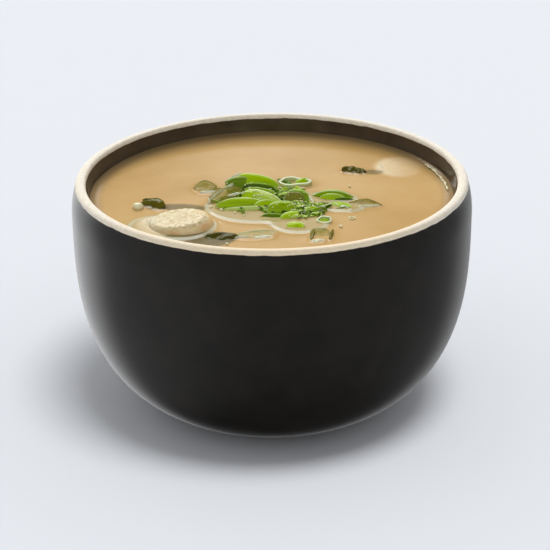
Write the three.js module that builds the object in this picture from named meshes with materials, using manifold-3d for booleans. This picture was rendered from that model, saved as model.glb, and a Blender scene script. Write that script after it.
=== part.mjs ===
// A deep stoneware bowl filled with miso soup. Two round slices of wheat gluten and three folds of wakame
// float in the broth, with a heap of cut spring onion in the middle and nine single onion slices round it.
// Millimetres, +Z up. The origin is the middle of the foot, on the surface that the bowl stands on.

import * as THREE from "three";
import { mergeVertices } from "three/addons/utils/BufferGeometryUtils.js";
import Module from "manifold-3d";

const wasm = await Module();
wasm.setup();

// The bowl's outside: a deep belly, widest a little under the lip.
const BOWL_HEIGHT = 75.5;
const BELLY_RADIUS = 62.5;
const BELLY_HEIGHT = 65.3;
const BELLY_SPREAD = 1.94; // superellipse powers of the belly: outwards and upwards
const BELLY_LIFT = 3.0;
const FOOT_RADIUS = 23.0;
const FOOT_RING = 4.0; // width of the ring that touches the table
const FOOT_RECESS = 1.2;

// The lip, with a softer round outside than inside.
const LIP_RADIUS = 61.2;
const LIP_WIDTH = 3.4;
const LIP_ROUND_OUTSIDE = 1.5;
const LIP_ROUND_INSIDE = 1.2;

// The well that the soup fills.
const WELL_RADIUS = 55.4; // at the height of the belly
const WELL_FLOOR_HEIGHT = 7.5;
const WELL_FLOOR_RADIUS = 18.0;
const SOUP_LEVEL = 69.5;

// Space kept between any two solids.
const GAP = 0.3;

// Wheat gluten: puffed round slices with soft edges and an uneven outline, lying a little tilted.
const GLUTEN_THICKNESS = 8.0;
const GLUTEN_EDGE = 2.4; // radius of its soft edge
const GLUTEN_OVAL = 0.05; // how far the outline leaves a circle, as shares of its radius
const GLUTEN_LOBES = 0.03;
const glutenSlices = {
  gluten_front: { at: [-29.6, -25.9], top: 71.4, size: [19.0, 16.6], dip: -8, nod: 3, phase: 12 },
  gluten_back: { at: [41.0, 22.6], top: 70.2, size: [16.0, 17.0], dip: 5, nod: 4, phase: 40 },
};

// Wakame: soft leaves, rolled about their length and rippled along it.
const WAKAME_THICKNESS = 1.3;
const WAKAME_RIPPLE = 0.5; // height of the ripples
const WAKAME_RIPPLE_TURNS = 1.4; // how many there are along a leaf
const wakameFolds = {
  wakame_left: { at: [-32.6, -10.6], height: 70.1, size: [17, 9.5], roll: 150, lift: 8, turn: 165 },
  wakame_front: { at: [-18.2, -39.4], height: 69.4, size: [17, 9], roll: 95, lift: -5, turn: 178 },
  wakame_back: { at: [27.0, 18.2], height: 69.9, size: [10.5, 7.5], roll: 120, lift: 7, turn: 176 },
};

// The heap of cut spring onion, out to its uneven outline: one low mound for each cut piece in it.
const HEAP_SUNK = 1.2; // how far it reaches under the level
const heapMounds = [
  // half lengths along and across, height over the level, turn in degrees
  { at: [-4.6, 1.8], half: [7.8, 3.3], height: 3.9, turn: -37 },
  { at: [-11.2, 1.4], half: [5.6, 2.8], height: 3.2, turn: 62 },
  { at: [-13.4, -5.8], half: [6.6, 3.4], height: 2.2, turn: 55 },
  { at: [-9.0, -13.6], half: [7.6, 3.8], height: 2.6, turn: 3 },
  { at: [-3.4, -6.6], half: [7.4, 5.6], height: 2.8, turn: -45 },
  { at: [-4.2, -16.8], half: [5.0, 3.0], height: 1.4, turn: 8 },
  { at: [6.6, -7.8], half: [5.2, 5.2], height: 2.8, turn: 0 },
  { at: [3.4, -17.6], half: [6.0, 4.8], height: 2.0, turn: 10 },
  { at: [10.2, -16.0], half: [5.2, 5.2], height: 1.8, turn: 30 },
];

// Single slices of spring onion: short oval tubes, cut on the slant, lying in the surface.
const SLICE_WALL = 0.9;
const floatingSlices = [
  // length and width, height along the tube, rise for each mm of length, turn in degrees
  { at: [-21.2, 4.2], size: [6.8, 8.6], height: 1.5, slant: 0.1, turn: -20 },
  { at: [6.9, 6.8], size: [10.0, 6.6], height: 1.6, slant: 0.04, turn: -6 },
  { at: [18.8, -4.2], size: [12.4, 8.4], height: 2.6, slant: -0.04, turn: -14 },
  { at: [20.2, -13.8], size: [7.2, 6.4], height: 1.3, slant: 0.02, turn: -20 },
  { at: [29.4, -11.2], size: [8.4, 5.4], height: 1.3, slant: 0.06, turn: 4 },
  { at: [14.2, -35.4], size: [6.6, 9.0], height: 1.4, slant: -0.08, turn: -12 },
  { at: [-3.6, -33.8], size: [11.0, 4.8], height: 1.2, slant: 0.04, turn: -6 },
  { at: [15.9, -25.4], size: [4.6, 4.6], height: 1.4, slant: 0.08, turn: 0 },
  { at: [6.9, -28.4], size: [5.8, 4.0], height: 1.5, slant: -0.06, turn: -8 },
];

// Facets: round each kind of piece, and along its curves.
const BOWL_STEPS = 44;
const BELLY_STEPS = 10;
const EDGE_STEPS = 3;
const GLUTEN_STEPS = 22;
const WAKAME_STEPS = 16;
const MOUND_STEPS = 10;
const SLICE_STEPS = 16;

const materials = {
  glaze: new THREE.MeshStandardMaterial({ color: 0x24221f, roughness: 0.55, metalness: 0 }),
  broth: new THREE.MeshStandardMaterial({ color: 0xd6b27f, roughness: 0.15, metalness: 0 }),
  gluten: new THREE.MeshStandardMaterial({ color: 0xe6dcc4, roughness: 0.6, metalness: 0 }),
  wakame: new THREE.MeshStandardMaterial({ color: 0x3a4020, roughness: 0.3, metalness: 0 }),
  onion: new THREE.MeshStandardMaterial({ color: 0x7fae14, roughness: 0.3, metalness: 0 }),
};

const radians = THREE.MathUtils.degToRad;

// A closed geometry as a solid that can be cut and joined, with its shared vertices merged.
const MERGE_WITHIN = 1e-4;

function solidOf(geometry) {
  const bare = geometry.clone();
  bare.deleteAttribute("normal");
  bare.deleteAttribute("uv");
  const merged = mergeVertices(bare, MERGE_WITHIN);
  return new wasm.Manifold(
    new wasm.Mesh({
      numProp: 3,
      vertProperties: merged.attributes.position.array,
      triVerts: new Uint32Array(merged.index.array),
    }),
  );
}

function geometryOf(solid) {
  const { vertProperties, triVerts } = solid.getMesh();
  const geometry = new THREE.BufferGeometry();
  geometry.setAttribute("position", new THREE.BufferAttribute(vertProperties, 3));
  geometry.setIndex(new THREE.BufferAttribute(triVerts, 1));
  geometry.computeVertexNormals();
  return geometry;
}

// Turns a profile of [radius, height] pairs about +Z.
function turned(profile, steps) {
  const points = profile.map(([radius, height]) => new THREE.Vector2(radius, height));
  return new THREE.LatheGeometry(points, steps).rotateX(Math.PI / 2);
}

// A sphere with its poles on Z, scaled to three half lengths.
function ellipsoid(halves, steps) {
  return new THREE.SphereGeometry(1, steps, steps / 2).rotateX(Math.PI / 2).scale(...halves);
}

// Moves every vertex of a geometry by a function of its place.
function shaped(geometry, place) {
  const at = geometry.attributes.position;
  const vertex = new THREE.Vector3();
  for (let i = 0; i < at.count; i++) {
    place(vertex.fromBufferAttribute(at, i));
    at.setXYZ(i, vertex.x, vertex.y, vertex.z);
  }
  return geometry;
}

// A quarter superellipse from [startRadius, startHeight], where it is level, to [endRadius, endHeight],
// where it is upright.
function bellyCurve(startRadius, startHeight, endRadius, endHeight) {
  return Array.from({ length: BELLY_STEPS + 1 }, (_, i) => {
    const turn = (i / BELLY_STEPS) * (Math.PI / 2);
    return [
      startRadius + (endRadius - startRadius) * Math.sin(turn) ** (2 / BELLY_SPREAD),
      startHeight + (endHeight - startHeight) * (1 - Math.max(Math.cos(turn), 0) ** (2 / BELLY_LIFT)),
    ];
  });
}

// The arc of a rounded edge, from one angle to another, as [radius, height] pairs.
function edgeArc(centreRadius, centreHeight, round, from, to) {
  return Array.from({ length: EDGE_STEPS + 1 }, (_, i) => {
    const angle = from + ((to - from) * i) / EDGE_STEPS;
    return [centreRadius + round * Math.cos(angle), centreHeight + round * Math.sin(angle)];
  });
}

// Wall and foot, from the middle of the underside, up the outside, over the lip and down the inside.
// Between belly and lip the outside leans in on a parabola, here by its middle point.
function bowlGeometry() {
  const lipInside = LIP_RADIUS - LIP_WIDTH;
  const outsideArcHeight = BOWL_HEIGHT - LIP_ROUND_OUTSIDE;
  const insideArcHeight = BOWL_HEIGHT - LIP_ROUND_INSIDE;
  const profile = [
    [0, FOOT_RECESS],
    [FOOT_RADIUS - FOOT_RING - FOOT_RECESS, FOOT_RECESS],
    [FOOT_RADIUS - FOOT_RING, 0],
    ...bellyCurve(FOOT_RADIUS, 0, BELLY_RADIUS, BELLY_HEIGHT),
    [BELLY_RADIUS - (BELLY_RADIUS - LIP_RADIUS) / 4, (BELLY_HEIGHT + outsideArcHeight) / 2],
    ...edgeArc(LIP_RADIUS - LIP_ROUND_OUTSIDE, outsideArcHeight, LIP_ROUND_OUTSIDE, 0, Math.PI / 2),
    ...edgeArc(lipInside + LIP_ROUND_INSIDE, insideArcHeight, LIP_ROUND_INSIDE, Math.PI / 2, Math.PI),
    ...bellyCurve(WELL_FLOOR_RADIUS, WELL_FLOOR_HEIGHT, WELL_RADIUS, BELLY_HEIGHT).reverse(),
    [0, WELL_FLOOR_HEIGHT],
  ];
  return turned(profile, BOWL_STEPS);
}

// The inside of the wall at a height between the belly and the lip.
function wellRadiusAt(height) {
  const share = (height - BELLY_HEIGHT) / (BOWL_HEIGHT - LIP_ROUND_INSIDE - BELLY_HEIGHT);
  return WELL_RADIUS + (LIP_RADIUS - LIP_WIDTH - WELL_RADIUS) * share;
}

// The broth fills the well up to its level, clear of the wall and of the pocket round each floating piece.
function brothGeometry(pockets) {
  const profile = [
    [0, WELL_FLOOR_HEIGHT + GAP],
    ...bellyCurve(WELL_FLOOR_RADIUS - GAP, WELL_FLOOR_HEIGHT + GAP, WELL_RADIUS - GAP, BELLY_HEIGHT),
    [wellRadiusAt(SOUP_LEVEL) - GAP, SOUP_LEVEL],
    [0, SOUP_LEVEL],
  ];
  let broth = solidOf(turned(profile, BOWL_STEPS));
  for (const pocket of pockets) broth = broth.subtract(pocket);
  return geometryOf(broth);
}

// Each of the next functions makes a piece, or with grow the pocket that holds it clear of the broth.

function glutenGeometry({ at, top, size, dip, nod, phase }, grow = 0) {
  const half = GLUTEN_THICKNESS / 2 + grow;
  const edge = GLUTEN_EDGE + grow;
  const radius = size[0] / 2 + grow;
  const lower = edgeArc(radius - edge, edge - half, edge, -Math.PI / 2, 0);
  const upper = edgeArc(radius - edge, half - edge, edge, 0, Math.PI / 2);
  const cake = turned([[0, -half], ...lower, ...upper, [0, half]], GLUTEN_STEPS);
  shaped(cake, (v) => {
    const angle = Math.atan2(v.y, v.x);
    const oval = GLUTEN_OVAL * Math.cos(2 * angle + phase);
    const swell = 1 + oval + GLUTEN_LOBES * Math.cos(3 * angle - phase);
    v.x *= swell;
    v.y *= (swell * (size[1] / 2 + grow)) / radius;
  });
  cake.rotateX(radians(nod)).rotateY(radians(dip));
  return cake.translate(at[0], at[1], top - GLUTEN_THICKNESS / 2);
}

function wakameGeometry({ at, height, size, roll, lift, turn }, grow = 0) {
  const [length, width] = size;
  const rollRadius = width / radians(roll);
  const halves = [length / 2 + grow, width / 2 + grow, WAKAME_THICKNESS / 2 + grow];
  const leaf = ellipsoid(halves, WAKAME_STEPS);
  shaped(leaf, (v) => {
    const angle = v.y / rollRadius;
    const out = rollRadius + v.z;
    const ripple = WAKAME_RIPPLE * Math.sin((v.x / length) * WAKAME_RIPPLE_TURNS * 2 * Math.PI);
    v.y = out * Math.sin(angle);
    v.z = out * Math.cos(angle) - rollRadius + ripple;
  });
  leaf.rotateY(radians(-lift)).rotateZ(radians(turn));
  return leaf.translate(at[0], at[1], height);
}

function heapSolid(grow = 0) {
  const waterline = SOUP_LEVEL - HEAP_SUNK;
  const mounds = heapMounds.map(({ at, half, height, turn }) => {
    const mound = ellipsoid([half[0] + grow, half[1] + grow, height + HEAP_SUNK + grow], MOUND_STEPS);
    return solidOf(mound.rotateZ(radians(turn)).translate(at[0], at[1], waterline));
  });
  const joined = mounds.reduce((heap, mound) => heap.add(mound));
  return joined.subtract(everythingBelow(waterline - grow));
}

// A block that holds all of the object below a height.
function everythingBelow(height) {
  const reach = 4 * BELLY_RADIUS;
  return solidOf(new THREE.BoxGeometry(reach, reach, reach).translate(0, 0, height - reach / 2));
}

function sliceGeometry({ at, size, height, slant, turn }, grow = 0) {
  const outer = size[0] / 2 + grow;
  const inner = size[0] / 2 - SLICE_WALL - grow;
  const half = height / 2 + grow;
  const wall = [
    [inner, -half],
    [outer, -half],
    [outer, half],
    [inner, half],
    [inner, -half],
  ];
  const tube = turned(wall, SLICE_STEPS);
  shaped(tube, (v) => {
    v.y *= (size[1] / 2 + grow) / outer;
    v.z += slant * v.x;
  });
  return tube.rotateZ(radians(turn)).translate(at[0], at[1], SOUP_LEVEL);
}

const object = new THREE.Group();

function add(name, geometry, material) {
  const mesh = new THREE.Mesh(geometry, material);
  mesh.name = name;
  object.add(mesh);
}

const pockets = [heapSolid(GAP)];

// Adds a piece that floats in the broth, and keeps the pocket that it lies in.
function float(name, makeGeometry, piece, material) {
  add(name, makeGeometry(piece), material);
  pockets.push(solidOf(makeGeometry(piece, GAP)));
}

for (const [name, slice] of Object.entries(glutenSlices)) {
  float(name, glutenGeometry, slice, materials.gluten);
}
for (const [name, fold] of Object.entries(wakameFolds)) {
  float(name, wakameGeometry, fold, materials.wakame);
}
for (const [i, slice] of floatingSlices.entries()) {
  float(`onion_slice_${i + 1}`, sliceGeometry, slice, materials.onion);
}
add("onion_heap", geometryOf(heapSolid()), materials.onion);
add("broth", brothGeometry(pockets), materials.broth);
add("bowl", bowlGeometry(), materials.glaze);

export default object;
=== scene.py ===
# %% [markdown]
# # A bowl of miso soup
# A deep stoneware bowl holds a cloudy broth. Spring onion, wakame and two slices of wheat gluten float in
# it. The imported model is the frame: it says where each piece is, in metres. Each cell below makes one
# piece or one finish. Sizes are in metres, written as so many millimetres, but the tables of food pieces
# are in millimetres.

# %% Load the frame
import random
from math import cos, exp, hypot, log, pi, radians, sin, sqrt

import bmesh
import bpy
from mathutils import Matrix, Vector, noise
from mathutils.bvhtree import BVHTree
from mathutils.kdtree import KDTree


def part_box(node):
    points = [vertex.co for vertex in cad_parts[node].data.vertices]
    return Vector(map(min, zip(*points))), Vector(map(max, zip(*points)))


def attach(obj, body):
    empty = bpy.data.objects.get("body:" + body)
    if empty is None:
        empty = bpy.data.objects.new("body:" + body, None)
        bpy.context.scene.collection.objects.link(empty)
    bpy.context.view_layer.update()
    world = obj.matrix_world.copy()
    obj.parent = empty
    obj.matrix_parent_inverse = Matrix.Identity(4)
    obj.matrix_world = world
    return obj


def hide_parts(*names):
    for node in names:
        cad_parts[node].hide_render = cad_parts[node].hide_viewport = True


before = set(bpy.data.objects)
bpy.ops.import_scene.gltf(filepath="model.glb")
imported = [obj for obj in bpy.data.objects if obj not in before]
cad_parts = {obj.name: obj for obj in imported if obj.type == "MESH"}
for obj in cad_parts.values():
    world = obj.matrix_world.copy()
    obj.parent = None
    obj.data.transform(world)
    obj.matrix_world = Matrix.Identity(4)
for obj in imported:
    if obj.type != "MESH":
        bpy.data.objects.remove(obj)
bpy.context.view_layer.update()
MM = 0.001
print("nodes in the frame:", sorted(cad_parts))

# %% [markdown]
# ## Helpers
# A bmesh is a mesh under construction. When a piece is done, it becomes an object at the origin, with its
# place in its mesh. A slice of onion and a bowl need the same last steps, so they share one function.

# %% From a bmesh to a finished piece
SAME_PLACE = 0.001 * MM


def finish_piece(name, bm, material):
    """Turns a bmesh into an object of one material, with shared points merged and faces turned outwards."""
    bmesh.ops.remove_doubles(bm, verts=bm.verts, dist=SAME_PLACE)
    bmesh.ops.recalc_face_normals(bm, faces=bm.faces)
    for face in bm.faces:
        face.smooth = True
    mesh = bpy.data.meshes.new(name)
    bm.to_mesh(mesh)
    bm.free()
    mesh.materials.append(material)
    piece = bpy.data.objects.new(name, mesh)
    bpy.context.scene.collection.objects.link(piece)
    triangles = sum(len(polygon.vertices) - 2 for polygon in mesh.polygons)
    print(f"{name}: {triangles} triangles")
    return piece


def absorb(bm, part):
    """Moves all of one bmesh into another."""
    loose = bpy.data.meshes.new("part")
    part.to_mesh(loose)
    part.free()
    bm.from_mesh(loose)
    bpy.data.meshes.remove(loose)


def add_piece(name, bm, material, slot, *nodes):
    """A piece of the part. It rides on the only body and stands for its nodes in the frame. The slot is not
    used.
    """
    piece = finish_piece(name, bm, material)
    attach(piece, "root")
    if nodes:
        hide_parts(*nodes)
    return piece


print("helpers for pieces ready")

# %% [markdown]
# ## Materials from nodes
# Blender's colour sockets hold linear light, and a colour as given here is in sRGB, so one function turns
# one into the other. Another adds a node of any kind, sets it and links it, which keeps each material
# readable.

# %% Colours and nodes
def linear(hex_colour):
    """An sRGB hex colour such as "d9b98b" as linear red, green, blue and alpha."""
    channels = [int(hex_colour[i : i + 2], 16) / 255 for i in (0, 2, 4)]
    return tuple(c / 12.92 if c <= 0.04045 else ((c + 0.055) / 1.055) ** 2.4 for c in channels) + (1.0,)


def link(material, source, target, socket):
    """Feeds an output, or the output that a node has switched on, into a socket of another node."""
    if isinstance(source, bpy.types.Node):
        source = next(output for output in source.outputs if output.enabled)
    material.node_tree.links.new(source, target.inputs[socket])


def node(material, kind, inputs=None, stops=(), **settings):
    """
    Adds a node. An input, by name or number, takes a value, an output or another node. A setting names a
    property or an input. Stops are the positions and sRGB hex colours of a colour ramp.
    """
    added = material.node_tree.nodes.new("ShaderNode" + kind)
    for name, value in settings.items():
        if hasattr(added, name):
            setattr(added, name, value)
        else:
            added.inputs[name.replace("_", " ")].default_value = value
    for name, value in (inputs or {}).items():
        if isinstance(value, (bpy.types.Node, bpy.types.NodeSocket)):
            link(material, value, added, name)
        else:
            added.inputs[name].default_value = value
    if stops:
        elements = added.color_ramp.elements
        while len(elements) < len(stops):
            elements.new(0.5)
        for element, (position, colour) in zip(elements, stops):
            element.position = position
            element.color = linear(colour)
    return added


def new_material(name, **looks):
    """A node material, with the shader and output that every material here ends in."""
    material = bpy.data.materials.new(name)
    material.use_nodes = True
    material.node_tree.nodes.clear()
    shader = node(material, "BsdfPrincipled", **looks)
    node(material, "OutputMaterial", {"Surface": shader})
    return material, shader


print("helpers ready")

# %% [markdown]
# ## Camera
# The bowl is seen from a little above, through a long lens, so that its lip is a flat oval. The camera's
# place follows from the height of the bowl's middle, its own elevation and its distance.

# %% Camera
CAMERA_ELEVATION = radians(23.75)
CAMERA_DISTANCE = 600 * MM
CAMERA_ROLL = radians(-0.52)
CAMERA_NEAREST = 10 * MM
LOOK_AT = Vector((0.77 * MM, 0, 41.5 * MM))
FOCAL_LENGTHS_PER_WIDTH = 3.4195  # focal length over the picture's width
SENSOR_WIDTH = 36.0

camera_data = bpy.data.cameras.new("camera")
camera_data.sensor_width = SENSOR_WIDTH
camera_data.lens = SENSOR_WIDTH * FOCAL_LENGTHS_PER_WIDTH
camera_data.clip_start = CAMERA_NEAREST
camera = bpy.data.objects.new("camera", camera_data)
towards_camera = Vector((0, -cos(CAMERA_ELEVATION), sin(CAMERA_ELEVATION)))
tilt = Matrix.Rotation(pi / 2 - CAMERA_ELEVATION, 4, "X") @ Matrix.Rotation(CAMERA_ROLL, 4, "Z")
camera.matrix_world = Matrix.Translation(LOOK_AT + towards_camera * CAMERA_DISTANCE) @ tilt
bpy.context.scene.collection.objects.link(camera)
bpy.context.scene.camera = camera
print(f"camera at {CAMERA_DISTANCE:.2f} m, lens {camera_data.lens:.0f} mm")

# %% [markdown]
# ## Light
# A studio is a dim room with a few large soft panels. Glaze and broth mirror those panels, so they are
# drawn in the sky as soft discs: one behind the bowl, which lays a gleam along the middle of the soup,
# and others low at the left and right, which edge the black glaze with grey. Two dark discs, straight
# below and straight above, keep the middle of the glaze black and the leaves deep.

# %% Sky with soft panels
SKY_COLOUR = "f2f3f5"
SKY_STRENGTH = 0.28
# Azimuth, elevation and half width in degrees, and how much brighter the panel's middle is than the sky.
PANELS = [
    (0.4, 21.6, 4.0, 1.4),
    (21, 12, 9, 3.4),
    (34, -17, 38, 1.4),
    (100, -20, 62, 0.4),
    (-24, -22, 32, 0.45),
    (-80, -22, 50, 0.08),
    (0, -90, 60, -0.28),
    (0, 90, 45, -0.24),
]


def heading(azimuth, elevation):
    """A direction. Azimuth 0 is straight behind the bowl and grows to the left. Both are in degrees."""
    across = cos(radians(elevation))
    turn = radians(azimuth)
    return Vector((-across * sin(turn), across * cos(turn), sin(radians(elevation))))


scene = bpy.context.scene
scene.view_settings.view_transform = "Standard"
world = bpy.data.worlds.new("studio")
world.use_nodes = True
scene.world = world
background = world.node_tree.nodes["Background"]
background.inputs["Color"].default_value = linear(SKY_COLOUR)
direction = node(world, "TexCoord").outputs["Generated"]
brightness = SKY_STRENGTH
for azimuth, elevation, half_width, strength in PANELS:
    facing = {0: direction, 1: heading(azimuth, elevation)}
    facing = node(world, "VectorMath", facing, operation="DOT_PRODUCT")
    reach = {"Value": facing, "From Min": cos(radians(half_width)), "To Max": strength}
    panel = node(world, "MapRange", reach, interpolation_type="SMOOTHSTEP")
    brightness = node(world, "Math", {0: brightness, 1: panel}, operation="ADD")
link(world, brightness, background, "Strength")
print(f"sky with {len(PANELS)} panels")

# %% [markdown]
# The lamps are suns with wide discs, because a sun lights the whole table evenly. The one behind the bowl
# is mirrored in the wet edges of the soup, so it decides where the bright edges lie. A lower one behind
# lays the wall's long soft shade on the soup, and isn't mirrored. The table has lamps of its own, which
# give the bowl a close round shadow, and the glaze doesn't mirror the table, as on a light table.

# %% Table and lamps
TABLE_SIZE = 4.0
TABLE_WHITE = linear("f2f5fa")
matt = new_material("matt_white_table", Base_Color=TABLE_WHITE, Roughness=0.9, Specular_IOR_Level=0.0)[0]
bm = bmesh.new()
bmesh.ops.create_grid(bm, x_segments=1, y_segments=1, size=TABLE_SIZE)
floor = finish_piece("floor", bm, matt)
floor.visible_glossy = False


def lamp(name, strength, width, azimuth, elevation, on_table=False, mirrored=True):
    """
    A sun with a disc of a width in degrees. It lights only the table, or all but the table. One that isn't
    mirrored lights wet and glazed surfaces, but they don't show its disc.
    """
    data = bpy.data.lights.new(name, "SUN")
    data.energy = strength
    data.angle = radians(width)
    light = bpy.data.objects.new(name, data)
    light.matrix_world = heading(azimuth, elevation).to_track_quat("Z", "Y").to_matrix().to_4x4()
    scene.collection.objects.link(light)
    receivers = bpy.data.collections.new(f"lit_by_{name}")
    receivers.objects.link(floor)
    receivers.collection_objects[0].light_linking.link_state = "INCLUDE" if on_table else "EXCLUDE"
    light.light_linking.receiver_collection = receivers
    light.visible_glossy = mirrored


lamp("lamp_behind", strength=1.35, width=34, azimuth=14, elevation=46)
lamp("lamp_low_behind", strength=2.6, width=26, azimuth=4, elevation=24, mirrored=False)
lamp("lamp_in_front", strength=0.95, width=80, azimuth=180, elevation=50)
lamp("lamp_over_table", strength=1.5, width=24, azimuth=-140, elevation=75.5, on_table=True)
lamp("lamp_round_table", strength=0.85, width=170, azimuth=0, elevation=90, on_table=True)
print("table and five lamps ready")

# %% [markdown]
# ## The bowl
# It is stoneware, thrown or jiggered as a turned shape: a profile swept round an axis. In Blender that is
# a spin. The outside follows a superellipse, level at the foot and upright at the belly, and leans in a
# little to a soft lip. The profile is drawn once, from the foot's middle up the outside, over the lip and
# down inside.

# %% Bowl sizes, from the frame
bowl_low, bowl_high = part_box("bowl")
BOWL_HEIGHT = bowl_high.z
BELLY_RADIUS = (bowl_high.x - bowl_low.x) / 2
BELLY_HEIGHT = 65.3 * MM
BELLY_SPREAD = 1.94
BELLY_LIFT = 3.0
FOOT_RADIUS = 23.0 * MM
FOOT_RING = 4.0 * MM
FOOT_RECESS = 1.2 * MM
LIP_RADIUS = 61.2 * MM
LIP_WIDTH = 3.4 * MM
LIP_INSIDE = LIP_RADIUS - LIP_WIDTH
OUTER_ROUND = (1.5 * MM, 1.5 * MM)
INNER_ROUND = (1.1 * MM, 1.3 * MM)
WELL_RADIUS = 55.4 * MM
WELL_FLOOR_RADIUS = 18.0 * MM
WELL_FLOOR_HEIGHT = 7.5 * MM
PROFILE_STEPS = 36
LEAN_STEPS = 5
ROUND_STEPS = 200
print(f"bowl {2 * BELLY_RADIUS / MM:.0f} mm wide and {BOWL_HEIGHT / MM:.1f} mm high")


# %% Bowl curves
def belly_curve(start_radius, start_height, end_radius, end_height):
    """A quarter superellipse, from level at its start to upright at its end, as points in the XZ plane."""
    points = []
    for i in range(PROFILE_STEPS + 1):
        turn = i / PROFILE_STEPS * pi / 2
        outwards = sin(turn) ** (2 / BELLY_SPREAD)
        upwards = 1 - max(cos(turn), 0) ** (2 / BELLY_LIFT)
        radius = start_radius + (end_radius - start_radius) * outwards
        points.append((radius, start_height + (end_height - start_height) * upwards))
    return points


def arc(centre, size, start, end, steps=8):
    """An arc as points in the XZ plane, with its two half sizes and its angles in degrees."""
    angles = [radians(start + (end - start) * i / steps) for i in range(steps + 1)]
    return [(centre[0] + size[0] * cos(a), centre[1] + size[1] * sin(a)) for a in angles]


def wall_inside(height):
    """The radius of the inside of the wall, between the belly's height and the lip."""
    share = (height - BELLY_HEIGHT) / (BOWL_HEIGHT - LIP_WIDTH / 3 - BELLY_HEIGHT)
    return WELL_RADIUS + (LIP_INSIDE - WELL_RADIUS) * share


def spin_profile(profile, steps):
    """Sweeps a line of (radius, height) points a full turn about Z."""
    bm = bmesh.new()
    corners = [bm.verts.new((radius, 0, height)) for radius, height in profile]
    edges = [bm.edges.new(pair) for pair in zip(corners, corners[1:])]
    bmesh.ops.spin(bm, geom=corners + edges, axis=(0, 0, 1), angle=2 * pi, steps=steps, use_merge=True)
    return bm


print(f"the wall is {wall_inside(BELLY_HEIGHT) / MM:.1f} mm from the axis at the belly")

# %% Bowl profile and spin
outside_top = BOWL_HEIGHT - OUTER_ROUND[1]
foot_inside = FOOT_RADIUS - FOOT_RING
profile = [(0, FOOT_RECESS), (foot_inside - FOOT_RECESS, FOOT_RECESS), (foot_inside, 0)]
profile += belly_curve(FOOT_RADIUS, 0, BELLY_RADIUS, BELLY_HEIGHT)
for share in [(i / LEAN_STEPS) ** 2 for i in range(1, LEAN_STEPS)]:
    leaning_in = BELLY_RADIUS - (BELLY_RADIUS - LIP_RADIUS) * share
    profile.append((leaning_in, BELLY_HEIGHT + (outside_top - BELLY_HEIGHT) * sqrt(share)))
profile += arc((LIP_RADIUS - OUTER_ROUND[0], outside_top), OUTER_ROUND, 0, 90)
profile += arc((LIP_INSIDE + INNER_ROUND[0], BOWL_HEIGHT - INNER_ROUND[1]), INNER_ROUND, 90, 180)
profile += reversed(belly_curve(WELL_FLOOR_RADIUS, WELL_FLOOR_HEIGHT, WELL_RADIUS, BELLY_HEIGHT))
profile += [(0, WELL_FLOOR_HEIGHT)]
bowl_bm = spin_profile(profile, ROUND_STEPS)
print(f"bowl profile of {len(profile)} points")

# %% [markdown]
# The lip is where the glaze was wiped off before firing, so the bare cream body shows. One material
# paints the three finishes by height and radius: satin black outside, bare lip, and a glossy brown-black
# inside. The wiped edge is a little uneven, so a noise moves the borders up and down by a few tenths of a
# millimetre.

# %% Where the glazes lie
WIPED_DOWN_TO = 74.2 * MM
GLAZE_WAVER = 0.8 * MM
WAVER_LENGTH = 6 * MM
GLAZE_EDGE = 0.2 * MM


def from_axis(material, place, shift=0.0):
    """How far a place lies from the bowl's upright axis. A shift moves the axis to the front."""
    flat = {0: place, 1: (1, 1, 0), 2: (0, shift, 0)}
    flat = node(material, "VectorMath", flat, operation="MULTIPLY_ADD")
    return node(material, "VectorMath", {0: flat}, operation="LENGTH")


stoneware, shader = new_material("stoneware_black_glaze_wiped_lip", Specular_IOR_Level=0.25)
place = node(stoneware, "TexCoord").outputs["Object"]
xyz = node(stoneware, "SeparateXYZ", {"Vector": place}).outputs
uneven = node(stoneware, "TexNoise", {"Vector": place}, Scale=1 / WAVER_LENGTH, Detail=3.0)
waver = {0: uneven, 1: GLAZE_WAVER, 2: -GLAZE_WAVER / 2}
waver = node(stoneware, "Math", waver, operation="MULTIPLY_ADD")
height = node(stoneware, "Math", {0: xyz["Z"], 1: waver}, operation="ADD")
wiped = {"Value": height, "From Min": WIPED_DOWN_TO, "From Max": WIPED_DOWN_TO + GLAZE_EDGE}
bare = node(stoneware, "MapRange", wiped)
within_lip = {0: from_axis(stoneware, place), 1: (LIP_RADIUS + LIP_INSIDE) / 2}
within_lip = node(stoneware, "Math", within_lip, operation="LESS_THAN")
above_belly = node(stoneware, "Math", {0: xyz["Z"], 1: BELLY_HEIGHT}, operation="GREATER_THAN")
in_well = node(stoneware, "Math", {0: within_lip, 1: above_belly}, operation="MULTIPLY")
print("stoneware borders ready")

# %% Bowl colours and gloss
GLAZE_MOTTLE = 9 * MM
BODY_SPECKLE = 1.2 * MM
GLAZE_GRAIN = (0.8 * MM, 0.004 * MM)
# How much painted warm reflection of the soup the front of the bare lip takes.
LIP_REFLECTION_SHARE = 0.6
GLOSS_OUTSIDE, GLOSS_INSIDE = 0.26, 0.1


def bumps(material, shader, size, depth):
    """Fine relief in the shading: noise of a size and depth in metres."""
    place = node(material, "TexCoord").outputs["Object"]
    grain = node(material, "TexNoise", {"Vector": place}, Scale=1 / size, Detail=2.0)
    bump = node(material, "Bump", {"Height": grain}, Strength=1.0, Distance=depth)
    link(material, bump, shader, "Normal")


mottle = node(stoneware, "TexNoise", {"Vector": place}, Scale=1 / GLAZE_MOTTLE, Detail=4.0)
speckle = node(stoneware, "TexNoise", {"Vector": place}, Scale=1 / BODY_SPECKLE, Detail=2.0)
outside, inside, clay = [
    node(stoneware, "ValToRGB", {"Fac": pattern}, stops)
    for pattern, stops in (
        (mottle, [(0.3, "1b1a18"), (0.7, "23201d")]),
        (mottle, [(0.3, "43382b"), (0.7, "514536")]),
        (speckle, [(0.3, "eae1ce"), (0.5, "f2e9d9"), (0.7, "f8f2e4")]),
    )
]
glazes = node(stoneware, "Mix", {0: in_well, 6: outside, 7: inside}, data_type="RGBA")
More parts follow.
